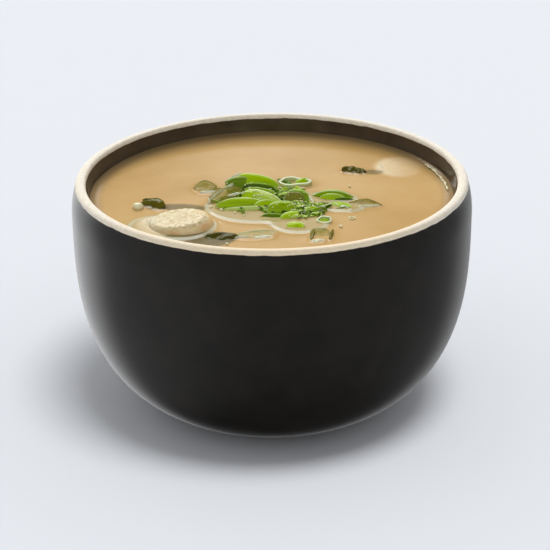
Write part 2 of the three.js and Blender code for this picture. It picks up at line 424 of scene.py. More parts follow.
# The bare clay is painted warmer towards the front: a painted reflection of the soup's warm light.
painted_lip_reflection = {"Value": xyz["Y"], "From Min": -LIP_RADIUS / 2, "From Max": -LIP_RADIUS, "To Max": LIP_REFLECTION_SHARE}
painted_lip_reflection = node(stoneware, "MapRange", painted_lip_reflection)
clay = node(stoneware, "Mix", {0: painted_lip_reflection, 6: clay, 7: linear("f4dcb0")}, data_type="RGBA")
colour = node(stoneware, "Mix", {0: bare, 6: glazes, 7: clay}, data_type="RGBA")
link(stoneware, colour, shader, "Base Color")
gloss = node(stoneware, "MapRange", {"Value": in_well}, To_Min=GLOSS_OUTSIDE, To_Max=GLOSS_INSIDE)
roughness = node(stoneware, "Math", {0: bare, 1: gloss}, operation="MAXIMUM")
link(stoneware, roughness, shader, "Roughness")
bumps(stoneware, shader, *GLAZE_GRAIN)
add_piece("stoneware_bowl", bowl_bm, stoneware, "glaze", "bowl")

# %% [markdown]
# ## Cut leaf
# Spring onion is a hollow leaf. Cut across, it gives rings; cut on the slant, it gives long curved
# pieces, and they split into strips. Each strip starts as a flat grid, which is narrowed towards its
# tips, curled across like the tube it came from and bent along its length. A last step gives it the
# leaf's thickness.

# %% What each piece of leaf knows
LEAF_VALUES = ("tone", "edge", "along", "across")


def leaf_mesh():
    """An empty bmesh whose vertices can hold the tone of their piece and their place on it."""
    bm = bmesh.new()
    for name in LEAF_VALUES:
        bm.verts.layers.float.new(name)
    return bm


def tag(bm, verts, tone, edge):
    """Stores a piece's tone, the place on it and the nearness of its edge, a function of (u, v)."""
    layers = [bm.verts.layers.float[name] for name in LEAF_VALUES]
    for vert in verts:
        values = (tone, edge(abs(vert.co.x), abs(vert.co.y)), vert.co.x, vert.co.y)
        for layer, value in zip(layers, values):
            vert[layer] = value


def thicken(bm, verts, thickness):
    """Gives a thickness in mm to the faces that have only these vertices."""
    chosen = set(verts)
    touched = dict.fromkeys(face for vert in verts for face in vert.link_faces)
    faces = [face for face in touched if chosen.issuperset(face.verts)]
    bmesh.ops.recalc_face_normals(bm, faces=faces)
    bmesh.ops.solidify(bm, geom=faces, thickness=thickness * MM)


print("each point of a leaf holds its", ", ".join(LEAF_VALUES))

# %% Strips
LEAF_STEPS = (26, 10)
BIT_STEPS = (14, 6)
NEARLY_FLAT = 1e-4
RIB = 0.07 * MM
TIP_WIDTH = 0.015
# The higher the power, the thinner the pale edge at the tips and along the sides.
TIP_EDGE, SIDE_EDGE = 16, 7
WAVES_ALONG, WAVES_ACROSS, WAVE_SHIFT = 2.1, 1.3, 900


def add_strip(
    bm, start, end, width, roll=0, curl=0, bend=0, tone=0.5, blunt=0.5,
    taper=2.2, thickness=0.3, wave=0.15, ribs=0, rim=0.0, steps=LEAF_STEPS
):
    """
    Adds a strip of leaf between two tips. Lengths are in mm and angles in degrees. It is curled across and
    bent along, and rolled about its length, which turns its face to the front. A low blunt gives square
    ends and may be a pair, for the start and the end. A rim of 1 makes it all as pale as its edge.
    """
    start = Vector(start) * MM
    along = Vector(end) * MM - start
    blunt_start, blunt_end = blunt if isinstance(blunt, tuple) else (blunt, blunt)
    bend_angle = radians(bend) / 2 or NEARLY_FLAT
    curl_angle = radians(curl) / 2 or NEARLY_FLAT
    bend_radius = along.length / 2 / sin(bend_angle)
    side = Vector((0, 0, 1)).cross(along).normalized()
    aligned = Matrix((along.normalized(), side, along.cross(side).normalized())).transposed().to_4x4()
    to_place = Matrix.Translation(start + along / 2) @ aligned @ Matrix.Rotation(radians(roll), 4, "X")
    # Grid vertices keep their place along (u) and across (v), from -1 to 1, until they are shaped.
    grid = bmesh.ops.create_grid(bm, x_segments=steps[0], y_segments=steps[1], size=1)["verts"]
    tag(bm, grid, tone, edge=lambda u, v: max(u**TIP_EDGE, v**SIDE_EDGE, rim))
    for vert in grid:
        u, v = vert.co.xy
        half_width = width * MM / 2
        narrowed = v * max(1 - abs(u) ** taper, TIP_WIDTH) ** (blunt_start if u < 0 else blunt_end)
        across = half_width * sin(narrowed * curl_angle) / curl_angle
        lift = half_width * (cos(narrowed * curl_angle) - 1) / curl_angle
        lift += bend_radius * (cos(u * bend_angle) - cos(bend_angle))
        spot = Vector((u * WAVES_ALONG + start.x * WAVE_SHIFT, v * WAVES_ACROSS, start.y * WAVE_SHIFT))
        lift += wave * MM * noise.noise(spot)
        lift += RIB * sin(pi * u * ribs)
        vert.co = to_place @ Vector((bend_radius * sin(u * bend_angle), across, lift))
    thicken(bm, grid, thickness)


def add_strips(bm, rows, **looks):
    """Adds a strip for each row, with the looks that all of them share and those that are its own."""
    for start, end, width, roll, curl, bend, tone, blunt, *own in rows:
        add_strip(bm, start, end, width, roll, curl, bend, tone, blunt, **looks, **dict(*own))


print("strips ready")

# %% Rings
RING_STEPS = (44, 6)
RING_EDGE = 3
RING_WAVES = 1.3
RING_SEAM = 0.005 * MM


def add_ring(bm, centre, radius, height, tip, squash, thickness, tone, wobble):
    """Adds a ring cut from the leaf, tipped towards the front. Lengths are in mm and the tip in degrees."""
    to_place = Matrix.Translation(Vector(centre) * MM) @ Matrix.Rotation(radians(tip), 4, "X")
    grid = bmesh.ops.create_grid(bm, x_segments=RING_STEPS[0], y_segments=RING_STEPS[1], size=1)["verts"]
    tag(bm, grid, tone, edge=lambda u, v: v**RING_EDGE)
    for vert in grid:
        angle, up = pi * vert.co.x, vert.co.y
        spot = Vector((cos(angle), sin(angle), centre[0])) * RING_WAVES
        across = Vector((cos(angle), sin(angle) * squash)) * radius
        across *= 1 + 2 * wobble * noise.noise(spot)
        vert.co = to_place @ (Vector((across.x, across.y, up * height / 2)) * MM)
    bmesh.ops.remove_doubles(bm, verts=grid, dist=RING_SEAM)
    thicken(bm, [vert for vert in grid if vert.is_valid], thickness)


print("rings ready")

# %% [markdown]
# ## Leaf finishes
# Wet leaf is glossy. Its green runs in fine streaks along the leaf, deeper or yellower from piece to
# piece, and its cut edges are pale. The thin inner skins are see-through and take the colour of the
# broth. One function makes all three leaves, because only their colours and how much shows through them
# differ.

# %% Leaf materials
STREAK = 0.55
STREAK_SCALES = {"along": 0.9, "across": 6.0, "tone": 90.0}


def leaf_material(name, tones, edge_colours, edge_share=0.8, opacity=None):
    """
    A wet leaf. The tone of each piece picks a colour, and its cut edges go towards the edge colours, of a
    dark and of a pale piece. A see-through leaf has two opacities, for its middle and for its edge.
    """
    material, shader = new_material(name, Roughness=0.12, Specular_IOR_Level=0.1)
    values = {key: node(material, "Attribute", attribute_name=key).outputs["Fac"] for key in LEAF_VALUES}
    spot = node(material, "CombineXYZ")
    for axis, (key, scale) in zip("XYZ", STREAK_SCALES.items()):
        link(material, node(material, "Math", {0: values[key], 1: scale}, operation="MULTIPLY"), spot, axis)
    streaks = node(material, "TexNoise", {"Vector": spot}, Scale=1.0, Detail=3.0)
    centred = {0: streaks, 1: STREAK, 2: -STREAK / 2}
    shift = node(material, "Math", centred, operation="MULTIPLY_ADD")
    toned = node(material, "Math", {0: values["tone"], 1: shift}, operation="ADD")
    body = node(material, "ValToRGB", {"Fac": toned}, tones)
    dark_edge, pale_edge = (linear(colour) for colour in edge_colours)
    edge_tint = node(material, "Mix", {0: values["tone"], 6: dark_edge, 7: pale_edge}, data_type="RGBA")
    near_edge = node(material, "MapRange", {"Value": values["edge"]}, To_Max=edge_share)
    tint = node(material, "Mix", {0: near_edge, 6: body, 7: edge_tint}, data_type="RGBA")
    link(material, tint, shader, "Base Color")
    if opacity:
        in_middle, at_edge = opacity
        shown = node(material, "MapRange", {"Value": values["edge"]}, To_Min=in_middle, To_Max=at_edge)
        link(material, shown, shader, "Alpha")
    return material


onion_leaf = leaf_material(
    "wet_spring_onion",
    [(0.0, "3a5204"), (0.25, "6b8900"), (0.5, "a0c200"), (0.75, "b0d014"), (1.0, "d8e4a4")],
    ("9ecc1c", "eef2d6"),
)
onion_film = leaf_material(
    "thin_inner_skin_of_onion",
    [(0.0, "968c22"), (0.5, "b0a848"), (1.0, "ccd49c")],
    ("74680a", "e8ecd0"),
    edge_share=0.95,
    opacity=(0.34, 0.95),
)
weed_leaf = leaf_material(
    "wet_wakame",
    [(0.0, "2c2d12"), (0.5, "6a620c"), (1.0, "a89a34")],
    ("474512", "8a8040"),
    edge_share=0.3,
)
print("leaf materials ready")

# %% [markdown]
# ## Onion
# Each large piece has its own place, size and tilt, so each is set by its two tips. The heap is a low
# core, which is the tangle of wet bits that shows between the pieces, with the pieces on top of it. A row
# in a table of strips is the two tips, the width, the roll, curl and bend in degrees, the tone, the
# bluntness of the tips and what else differs.

# %% Large pieces of the heap
onion_bm = leaf_mesh()
HEAP_STRIPS = [
    ((-10.8, 3.2, 73.6), (2.6, 1.6, 71.2), 5.8, 40, 80, 30, 0.54, (0.5, 0.95)),
    ((-6.6, 1.2, 71.3), (2.8, 0.2, 70.4), 1.4, 50, 20, 26, 0.95, 0.5),
    ((-14.4, 0.8, 71.2), (-6.0, 1.6, 72.2), 5.8, 60, 24, 8, 0.24, (0.25, 0.5)),
    ((-9.8, 0.2, 71.2), (2.4, -2.2, 70.7), 4.6, 58, 40, 18, 0.02, 0.5),
    ((-8.6, -1.8, 71.6), (1.6, -4.6, 70.9), 2.6, 44, 30, 18, 0.42, 0.6),
    ((-17.4, -12.6, 70.5), (-1.2, -12.4, 70.7), 5.4, 52, 80, 22, 0.48, 1.0),
    ((-15.6, -14.8, 69.8), (0.6, -14.0, 70.0), 1.6, 46, 20, 20, 0.86, 0.7),
    ((-5.6, -14.4, 70.5), (0.8, -11.4, 70.9), 3.4, 46, 50, 20, 0.6, 0.7),
    ((-8.4, -4.5, 71.9), (3.6, -12.8, 70.6), 4.6, 36, 50, 24, 0.82, (0.4, 0.8), dict(ribs=9)),
    ((-10.2, -6.0, 71.3), (-0.8, -9.4, 71.1), 4.2, 38, 50, 12, 0.62, 0.4, dict(ribs=7)),
    ((-1.6, -18.2, 70.7), (7.4, -17.0, 70.9), 8.0, 48, 110, 36, 0.4, (0.8, 0.4)),
    ((-3.4, -20.4, 69.9), (3.4, -21.4, 69.9), 3.0, 40, 60, 20, 0.14, 0.7),
    ((2.4, -22.4, 70.0), (9.4, -20.6, 70.3), 4.4, 40, 70, 24, 0.66, 0.8),
    ((7.4, -16.2, 70.4), (14.0, -17.6, 70.2), 4.6, 44, 80, 24, 0.06, 0.6),
    ((3.8, -7.4, 70.8), (11.6, -8.6, 70.7), 6.8, 52, 70, 30, 0.3, 0.6),
    ((-4.2, -22.8, 69.1), (5.8, -23.4, 69.2), 3.6, 8, 30, 8, 0.5, 0.7),
]
add_strips(onion_bm, HEAP_STRIPS)
print(f"{len(HEAP_STRIPS)} large pieces")

# %% Small bits of the heap
# They fill the gaps and crowd to the right. They lie any way round and lean on the humps of the core.
# Each crowd is a count, the middle and half size of an oval in mm, and the height of its bits.
BIT_CROWDS = [
    (26, (-6.0, -9.0), (12.0, 8.0), 70.2),
    (40, (-3.0, -4.4), (9.0, 4.0), 71.1),
    (80, (7.8, -15.6), (9.6, 6.0), 70.3),
    (16, (5.0, 0.0), (6.0, 3.6), 69.9),
]
BIT_LENGTHS, BIT_TURNS, BIT_SLOPES, BIT_LIFTS = (1.8, 5.0), (-1.2, 1.2), (-0.3, 0.3), (0.2, 1.0)
BIT_LOOKS = [(0.5, 1.7), (0, 70), (20, 120), (0, 50)]  # widths, rolls, curls and bends
BIT_BLUNTS = (0.25, 0.5, 0.9)
BIT_TONES = (0.0, 0.0, 0.1, 0.2, 0.3, 0.5, 0.8)
random.seed(11)
for count, crowd_middle, crowd_size, height in BIT_CROWDS:
    for _ in range(count):
        spread, angle = sqrt(random.random()), random.uniform(0, 2 * pi)
        x = crowd_middle[0] + crowd_size[0] * spread * cos(angle)
        y = crowd_middle[1] + crowd_size[1] * spread * sin(angle)
        length, turn = random.uniform(*BIT_LENGTHS), random.uniform(*BIT_TURNS)
        half = Vector((cos(turn), sin(turn), random.uniform(*BIT_SLOPES))) * length / 2
        middle = Vector((x, y, height + random.uniform(*BIT_LIFTS) * (1 - spread)))
        looks = [random.uniform(*span) for span in BIT_LOOKS]
        blunt = random.choice(BIT_BLUNTS)
        tone = random.choice(BIT_TONES)
        add_strip(onion_bm, middle - half, middle + half, *looks, tone, blunt, steps=BIT_STEPS)
heap_leaf = add_piece("heap_of_onion", onion_bm, onion_leaf, "onion", "onion_heap")

# %% Core of the heap
# Each hump is x, y and the height of its top, its half length and half width in mm, and its turn in degrees.
CORE_HUMPS = [
    (-5.4, 1.0, 70.9, 6.4, 3.4, -30),
    (-10.8, -6.2, 70.0, 6.2, 4.2, 40),
    (-5.0, -10.2, 70.2, 7.6, 5.6, -20),
    (4.4, -10.8, 70.0, 6.4, 6.0, 0),
    (9.4, -15.6, 69.7, 5.6, 4.4, 10),
    (3.8, -18.8, 69.7, 4.6, 3.4, 0),
]
CORE_DEPTH = 2.4
CORE_TONE = 0.12
CORE_ROUGHNESS = 0.16
LUMPS_PER_RADIUS = 3.1
LUMP_OCTAVES = (0.6, 2.0, 4)
core_bm = leaf_mesh()
for x, y, top, half_length, half_width, turn in CORE_HUMPS:
    hump = bmesh.ops.create_icosphere(core_bm, subdivisions=5, radius=1)["verts"]
    to_place = Matrix.Translation(Vector((x, y, top - CORE_DEPTH)) * MM)
    to_place = to_place @ Matrix.Rotation(radians(turn), 4, "Z")
    tag(core_bm, hump, CORE_TONE, edge=lambda u, v: 0.0)
    for vert in hump:
        lumps = noise.fractal(vert.co * LUMPS_PER_RADIUS + Vector((x, y, 0)), *LUMP_OCTAVES)
        oval = Vector((vert.co.x * half_length, vert.co.y * half_width, vert.co.z * CORE_DEPTH))
        vert.co = to_place @ (oval * (1 + CORE_ROUGHNESS * lumps) * MM)
heap_core = add_piece("wet_core_of_heap", core_bm, onion_leaf, "onion")

# %% [markdown]
# Nine pieces float round the heap, each in place of the frame's slice with the same number. Four are
# skins, see-through and edged by thin strips where they are torn: the dark strips are the skins' own
# edges, and the pale ones are painted highlights of the wet edges. The others are leaf, and two of
# them start from a whole ring.

# %% Pieces of onion round the heap
# Pale strips with a rim of 1 are painted highlights of the wet edges.
FILMS = {
    1: [
        ((-24.6, 4.0, 70.0), (-17.2, 4.6, 70.1), 10.8, 8, 20, 10, 0.2, 0.8, dict(taper=1.3)),
        ((-22.6, 0.2, 69.9), (-17.0, 1.0, 69.9), 1.1, 20, 20, 10, 0.9, 0.5, dict(rim=1.0)),
        ((-20.2, 0.6, 69.9), (-15.4, 2.8, 70.1), 1.8, 20, 40, 10, 0.1, 0.5),
    ],
    5: [
        ((23.6, -9.8, 70.0), (33.8, -11.4, 69.9), 7.0, 8, 16, 4, 0.1, 1.0, dict(taper=1.4)),
        ((26.0, -13.2, 69.9), (33.4, -12.0, 69.9), 0.8, 30, 0, 6, 0.9, 0.5, dict(rim=1.0)),
    ],
    6: [
        ((11.4, -34.8, 69.75), (17.2, -34.2, 69.75), 9.0, 6, 24, 20, 0.35, 0.2),
        ((12.6, -31.0, 70.0), (11.4, -38.6, 69.8), 1.1, 10, 0, 20, 0.0, 0.5, dict(rim=1.0)),
        ((17.0, -38.6, 69.9), (18.2, -31.4, 70.0), 1.0, 10, 0, 20, 0.0, 0.5, dict(rim=1.0)),
        ((11.4, -39.6, 69.8), (15.6, -39.4, 69.8), 1.6, 20, 60, 20, 1.0, 0.5, dict(rim=1.0)),
    ],
    7: [
        ((-10.6, -35.6, 69.8), (1.4, -32.6, 69.8), 6.0, 4, 16, 6, 0.9, 0.5),
        ((-5.6, -37.0, 69.8), (0.4, -35.8, 69.8), 1.2, 20, 30, 16, 1.0, 0.5, dict(rim=1.0)),
        ((-11.0, -36.4, 69.8), (-6.0, -36.0, 69.8), 0.8, 20, 30, 16, 0.8, 0.5, dict(rim=1.0)),
    ],
}
LEAVES = {
    2: [
        ((7.6, 6.6, 70.2), (12.0, 9.4, 70.6), 2.6, 30, 60, 20, 0.5, 0.5),
        ((1.8, 9.6, 70.5), (6.4, 6.4, 70.2), 2.0, 20, 60, 10, 0.1, 0.5),
        ((3.4, 6.0, 70.2), (8.4, 5.4, 70.2), 1.4, 20, 60, 10, 0.2, 0.5),
    ],
    3: [
        ((12.6, -4.0, 69.5), (25.4, -5.6, 69.5), 5.0, 44, 40, 60, 0.34, 0.7),
        ((14.4, -5.8, 69.5), (23.4, -7.2, 69.5), 4.0, 50, 30, 50, 0.5, 0.6),
        ((18.0, -7.6, 69.5), (25.6, -7.0, 69.6), 2.2, 50, 30, 30, 0.05, 0.6),
        # This thin pale arc is a painted highlight where the broth meets the piece.
        ((12.0, -3.2, 69.7), (26.0, -5.0, 69.7), 0.5, 10, 20, 72, 0.8, 0.5, dict(rim=0.6)),
    ],
    4: [
        ((17.4, -11.0, 70.1), (24.4, -13.8, 69.8), 5.0, 16, 50, 14, 0.5, 0.7),
        ((19.6, -14.6, 70.0), (25.4, -14.0, 69.8), 1.2, 20, 30, 10, 0.1, 0.5),
    ],
    8: [((14.2, -24.8, 69.9), (17.2, -24.6, 69.9), 2.6, 30, 30, 10, 0.5, 0.5)],
    9: [((4.2, -28.8, 70.0), (9.7, -29.6, 70.0), 4.8, 30, 60, 20, 0.7, 0.35, dict(ribs=8))],
}
# A ring is its centre, radius, height, tip, squash, thickness, tone and wobble.
RINGS = {
    2: ((6.9, 7.4, 70.1), 5.0, 1.2, 4, 0.62, 0.7, 1.0, 0.14),
    8: ((15.8, -24.4, 69.9), 2.4, 1.1, 14, 0.8, 0.5, 0.9, 0.12),
}
single = {}
for slices, material in ((FILMS, onion_film), (LEAVES, onion_leaf)):
    for number, rows in slices.items():
        bm = leaf_mesh()
        if number in RINGS:
            add_ring(bm, *RINGS[number])
        add_strips(bm, rows)
        single[number] = add_piece(f"cut_onion_{number}", bm, material, "onion", f"onion_slice_{number}")

# %% [markdown]
# Some skins in the heap are see-through, so they are a piece of their own with the film's finish. Pale,
# narrow, wavy strips along them are painted highlights of their wet edges. Three stand up along the left
# side and three lie at the right.

# %% Skins in the heap
SKIN_STRIPS = [
    ((-18.4, -9.4, 70.2), (-9.0, -1.8, 71.2), 8.0, 26, 40, 18, 0.2, 0.3),
    ((4.2, -7.9, 71.3), (10.0, -8.8, 71.2), 4.0, 50, 60, 24, 0.3, 0.6),
    ((12.0, -13.0, 70.0), (18.6, -11.6, 69.9), 5.0, 16, 40, 20, 0.6, 0.5),
]
# Painted highlights: pale strips where the wet edges of the skins catch the lamp.
PAINTED_HIGHLIGHT_LINES = [
    ((-19.6, -8.6, 70.8), (-11.6, 2.2, 72.4), 0.8, 30, 0, 10, 1.0, 0.5, dict(wave=0.5)),
    ((-14.8, 3.6, 72.0), (-9.8, 5.6, 74.3), 0.7, 30, 0, 8, 1.0, 0.5, dict(wave=0.3)),
    ((-13.6, -6.6, 71.2), (-4.2, -4.4, 72.0), 0.6, 40, 0, 20, 1.0, 0.5, dict(wave=0.5)),
    ((14.0, -15.6, 70.2), (19.0, -10.6, 70.2), 1.4, 10, 0, 10, 1.0, 0.5, dict(wave=0.5)),
    ((19.0, -10.6, 70.1), (24.6, -16.0, 70.0), 0.9, 10, 0, 10, 1.0, 0.5, dict(wave=0.5)),
    ((11.0, -2.6, 69.9), (13.0, -9.4, 69.8), 0.7, 10, 0, 20, 1.0, 0.5, dict(wave=0.3)),
]
skin_bm = leaf_mesh()
add_strips(skin_bm, SKIN_STRIPS)
add_strips(skin_bm, PAINTED_HIGHLIGHT_LINES, rim=1.0)
heap_skins = add_piece("skins_of_onion", skin_bm, onion_film, "onion")

# %% [markdown]
# ## Wakame
# It is a dark, slippery leaf of seaweed. Each piece breaks the surface in a low fold, and the rest of it
# hangs in the broth, where it shows as a grey-green shade. The same strips serve, only thicker and
# wavier.

# %% Wakame
WEED_THICKNESS = 0.6
WEED_FOLDS = {
    "left": [
        ((-40.0, -8.0, 70.3), (-33.4, -13.2, 69.9), 6.6, 34, 90, 34, 0.4, 0.5, dict(wave=1.2)),
        ((-35.2, -10.6, 69.1), (-20.0, -12.8, 68.9), 6.4, 0, 14, 4, 0.3, 0.5, dict(wave=0.3)),
    ],
    "front": [
        ((-19.8, -35.4, 69.6), (-9.8, -36.6, 69.6), 5.4, 20, 60, 16, 0.2, 0.5, dict(wave=1.1)),
        ((-32.0, -36.8, 69.0), (-11.0, -37.4, 69.1), 12.5, 0, 8, 2, 0.2, 0.5, dict(wave=0.3)),
    ],
    "back": [
        ((22.6, 19.0, 70.0), (29.8, 16.8, 69.7), 5.4, 30, 80, 20, 0.3, 0.5, dict(wave=1.0)),
        ((28.0, 17.6, 69.0), (36.0, 17.8, 68.6), 4.4, 0, 14, 2, 0.3, 0.5, dict(wave=0.2)),
    ],
}
wakame = {}
for side, rows in WEED_FOLDS.items():
    bm = leaf_mesh()
    add_strips(bm, rows, thickness=WEED_THICKNESS)
    wakame[side] = add_piece(f"fold_of_wakame_{side}", bm, weed_leaf, "wakame", f"wakame_{side}")

# %% [markdown]
# ## Wheat gluten
# The slices are cut from a puffed roll of gluten. Their cut faces are white and pebbly with small pores,
# and the roll's crust goes round the side as a tan, toasted band. They are turned cushions, pressed a
# little oval. A spin makes the cushion, and noise pushes its points in and out, which gives the pebbles.

# %% Cushions of gluten
GLUTEN_ROUND_STEPS = 240
TOP_STEPS, TOP_CORNER_STEPS, SIDE_STEPS, LOW_CORNER_STEPS = 30, 10, 14, 8
CORNER = 1.5
PORE = 1.0 * MM
PORE_OCTAVES = (0.7, 2.1, 3)
BROAD_PORES, BROAD_SHARE = 0.35, 0.6
PEBBLE = 0.17 * MM
SIDE_CALM = 0.7
CRUST_BELOW = (0.3, 1.3)  # in mm under the top
CRUST_BEYOND = (0.8, 0.95)  # in shares of the radius
OUT_OF_ROUND, OUT_OF_ROUND_LENGTH = 0.035, 6 * MM
FLARE, FLARE_TO = 0.26, 0.6


def share_between(value, start, end):
    """How far a value has come from a start to an end, from 0 to 1."""
    return min(max((value - start) / (end - start), 0.0), 1.0)


def cushion_profile(radius, thickness):
    """Half a disc with rounded corners, from the middle of the top to the middle of the bottom, in mm."""
    flat, round_size = radius - CORNER, (CORNER, CORNER)
    profile = [(flat * i / TOP_STEPS, 0.0) for i in range(TOP_STEPS)]
    profile += arc((flat, -CORNER), round_size, 90, 0, TOP_CORNER_STEPS)
    side_height = thickness - 2 * CORNER
    profile += [(radius, -CORNER - side_height * i / SIDE_STEPS) for i in range(1, SIDE_STEPS)]
    profile += arc((flat, CORNER - thickness), round_size, 0, -90, LOW_CORNER_STEPS)
    profile += [(flat / 2, -thickness), (0, -thickness)]
    return [(radius * MM, height * MM) for radius, height in profile]


def add_cushion(bm, centre, length, width, thickness, dip, nod, dome, seed):
    """Adds a slice with its top's middle at the centre, dipped to its left and nodding to its front."""
    part = spin_profile(cushion_profile(length / 2, thickness), GLUTEN_ROUND_STEPS)
    side_layer = part.verts.layers.float.new("side")
    to_place = Matrix.Translation(Vector(centre) * MM) @ Matrix.Rotation(radians(dip), 4, "Y")
    to_place = to_place @ Matrix.Rotation(radians(nod), 4, "X")
    for vert in part.verts:
        spot = vert.co / PORE + Vector((seed, 0, 0))
        pebbles = noise.fractal(spot, *PORE_OCTAVES) + BROAD_SHARE * noise.noise(spot * BROAD_PORES)
        outwards = min(vert.co.xy.length / (length / 2 * MM), 1.0)
        below_top = -vert.co.z / MM
        crust = share_between(below_top, *CRUST_BELOW) * share_between(outwards, *CRUST_BEYOND)
        vert[side_layer] = crust
        wander = noise.noise(Vector((vert.co.x, vert.co.y, seed * MM)) / OUT_OF_ROUND_LENGTH)
        stretch = 1 + OUT_OF_ROUND * wander + FLARE * min(below_top / thickness, FLARE_TO)
        lift = PEBBLE * pebbles * (1 - SIDE_CALM * crust) + dome * MM * (1 - outwards**2)
        pressed = Vector((vert.co.x * stretch, vert.co.y * stretch * width / length, vert.co.z + lift))
        vert.co = to_place @ pressed
    absorb(bm, part)


print("cushions ready")

# %% Gluten
# Puffed and soaked gluten is soft and lets light in, so its pores have warm, glowing shades.
GLUTEN_PORES, CRUST_PATCHES = 1.1 * MM, 5 * MM
GLOW_DEPTH = 3 * MM
GLUTEN_GRAIN = (0.5 * MM, 0.06 * MM)
gluten, shader = new_material(
    "puffed_wheat_gluten",
    Roughness=0.4,
    Subsurface_Weight=0.5,
    Subsurface_Radius=(1.0, 0.75, 0.4),
    Subsurface_Scale=GLOW_DEPTH,
)
place = node(gluten, "TexCoord").outputs["Object"]
pores = node(gluten, "TexNoise", {"Vector": place}, Scale=1 / GLUTEN_PORES, Detail=4.0)
patches = node(gluten, "TexNoise", {"Vector": place}, Scale=1 / CRUST_PATCHES, Detail=2.0)
crumb_stops = [(0.3, "c4ac7c"), (0.5, "dfcca0"), (0.66, "efe3c0")]
crust_stops = [(0.35, "ffe4b0"), (0.6, "f4c080")]
crumb = node(gluten, "ValToRGB", {"Fac": pores}, crumb_stops)
crust = node(gluten, "ValToRGB", {"Fac": patches}, crust_stops)
on_side = node(gluten, "Attribute", attribute_name="side").outputs["Fac"]
colour = node(gluten, "Mix", {0: on_side, 6: crumb, 7: crust}, data_type="RGBA")
link(gluten, colour, shader, "Base Color")
bumps(gluten, shader, *GLUTEN_GRAIN)
# A cushion is its centre, length, width, thickness, dip, nod, dome and seed, in mm and degrees. The
# front slice has a thin flap under it.
CUSHIONS = {
    "front": [
        ((-27.8, -25.6, 71.8), 18.0, 16.4, 5, -6, -1, 0.4, 3),
        ((-33.0, -27.0, 70.3), 17.0, 15.0, 3.5, -5, 3, 0.0, 5),
    ],
    "back": [((41.2, 22.4, 68.95), 15.4, 18.6, 6, 5, 0, 0.1, 8)],
}
gluten_slices = {}
for side, cushions in CUSHIONS.items():
    bm = bmesh.new()
    bm.verts.layers.float.new("side")
    for cushion in cushions:
        add_cushion(bm, *cushion)
    gluten_slices[side] = add_piece(f"slice_of_gluten_{side}", bm, gluten, "gluten", f"gluten_{side}")

# %% [markdown]
# ## Froth, drops and painted highlights
# Fine bubbles and drops sit on the wet leaf, and a few larger bubbles and specks float by themselves.
# Drops are small glossy domes set on the leaf by looking straight down at it. Their pale colour is partly
# a painted highlight, for the white sparkle of the wet leaf, and the pale strips along the right wall are
# painted highlights.

# %% Drops on the leaf
# Wet froth is smooth, so each drop and bubble mirrors the lamp behind as one sharp spark.
# The pale colour is partly a painted highlight: it stands for sparkle on the wet leaf and on the right wall.
froth_and_painted_highlight = new_material("pale_froth_drops_and_painted_highlights", Base_Color=linear("f2ecc0"), Roughness=0.08)[0]
DOWN = Vector((0, 0, -1))
DROP_COUNT = 220
DROP_RADII = (0.1, 0.34)
DROP_FLATNESS = 0.7
# Each crowd is the middle and the spread of x, then those of y, in mm.
DROP_CROWDS = [((9, 4), (-15, 3)), ((-3, 7), (-8, 5))]
LOOK_DOWN_FROM = 200 * MM


def add_drop(bm, place, radius):
    """Adds a drop whose middle is at a place. Lengths are in metres."""
    drop = bmesh.ops.create_icosphere(bm, subdivisions=2, radius=radius)["verts"]
    for vert in drop:
        vert.co = Vector(place) + Vector((vert.co.x, vert.co.y, vert.co.z * DROP_FLATNESS))


froth_and_highlight_bm = leaf_mesh()
heap_top = BVHTree.FromObject(heap_leaf, bpy.context.evaluated_depsgraph_get())
for _ in range(DROP_COUNT):
    x, y = random.choice([(random.gauss(*across), random.gauss(*back)) for across, back in DROP_CROWDS])
    hit = heap_top.ray_cast(Vector((x * MM, y * MM, LOOK_DOWN_FROM)), DOWN)[0]
    if hit:
        add_drop(froth_and_highlight_bm, hit, random.uniform(*DROP_RADII) * MM)
print(f"{len(froth_and_highlight_bm.verts)} points of drops on the leaf")

# %% Floating bubbles and froth
# Specks and small bubbles that float free: x, y and height of the middle, and radius, in mm.
FREE_DROPS = [
    (-11.3, -17.3, 69.95, 0.5), (-8.5, -19.6, 69.95, 0.45), (-15.4, -14.9, 70.0, 0.6),
    (-7.4, -17.3, 69.95, 0.3), (-3.9, -17.4, 69.95, 0.3), (-18.8, -12.4, 70.0, 0.6),
    (24.5, 4.8, 69.7, 0.5), (-41.2, -11.4, 69.9, 1.8), (-13.2, -41.0, 69.6, 0.6),
    (13.4, -30.4, 69.7, 0.4), (20.6, -28.4, 69.7, 0.6),
]
# Larger bubbles, which show as wet rings: x, y and radius in mm.
BUBBLES = [(26.0, -7.3, 0.8), (24.2, -21.7, 0.9), (-4.2, -21.7, 1.1), (12.6, -39.6, 0.8)]
BUBBLE_HEIGHT = 69.62
BUBBLE_WALL = (0.22, 0.22)
BUBBLE_STEPS = (10, 32)
# A painted highlight lies along the wall at the right as a broken line of pale strips, from the first
# angle to the last in degrees.
WALL_HIGHLIGHT_ANGLES = range(2, 25, 2)
WALL_HIGHLIGHT_RADIUS, WALL_HIGHLIGHT_HEIGHT, WALL_HIGHLIGHT_RISE = 54.9, 69.9, (0.0, 0.4)
WALL_HIGHLIGHT_LENGTHS, WALL_HIGHLIGHT_WIDTHS, WALL_HIGHLIGHT_ROLL = (0.012, 0.03), (0.3, 0.7), 40


def add_bubble(bm, x, y, radius):
    """Adds the wet ring of a floating bubble. Lengths are in mm."""
    wall_steps, round_steps = BUBBLE_STEPS
    profile = arc((radius, BUBBLE_HEIGHT), BUBBLE_WALL, 0, 360, wall_steps)
    ring = spin_profile([(from_middle * MM, height * MM) for from_middle, height in profile], round_steps)
    bmesh.ops.translate(ring, verts=ring.verts, vec=Vector((x, y, 0)) * MM)
    absorb(bm, ring)


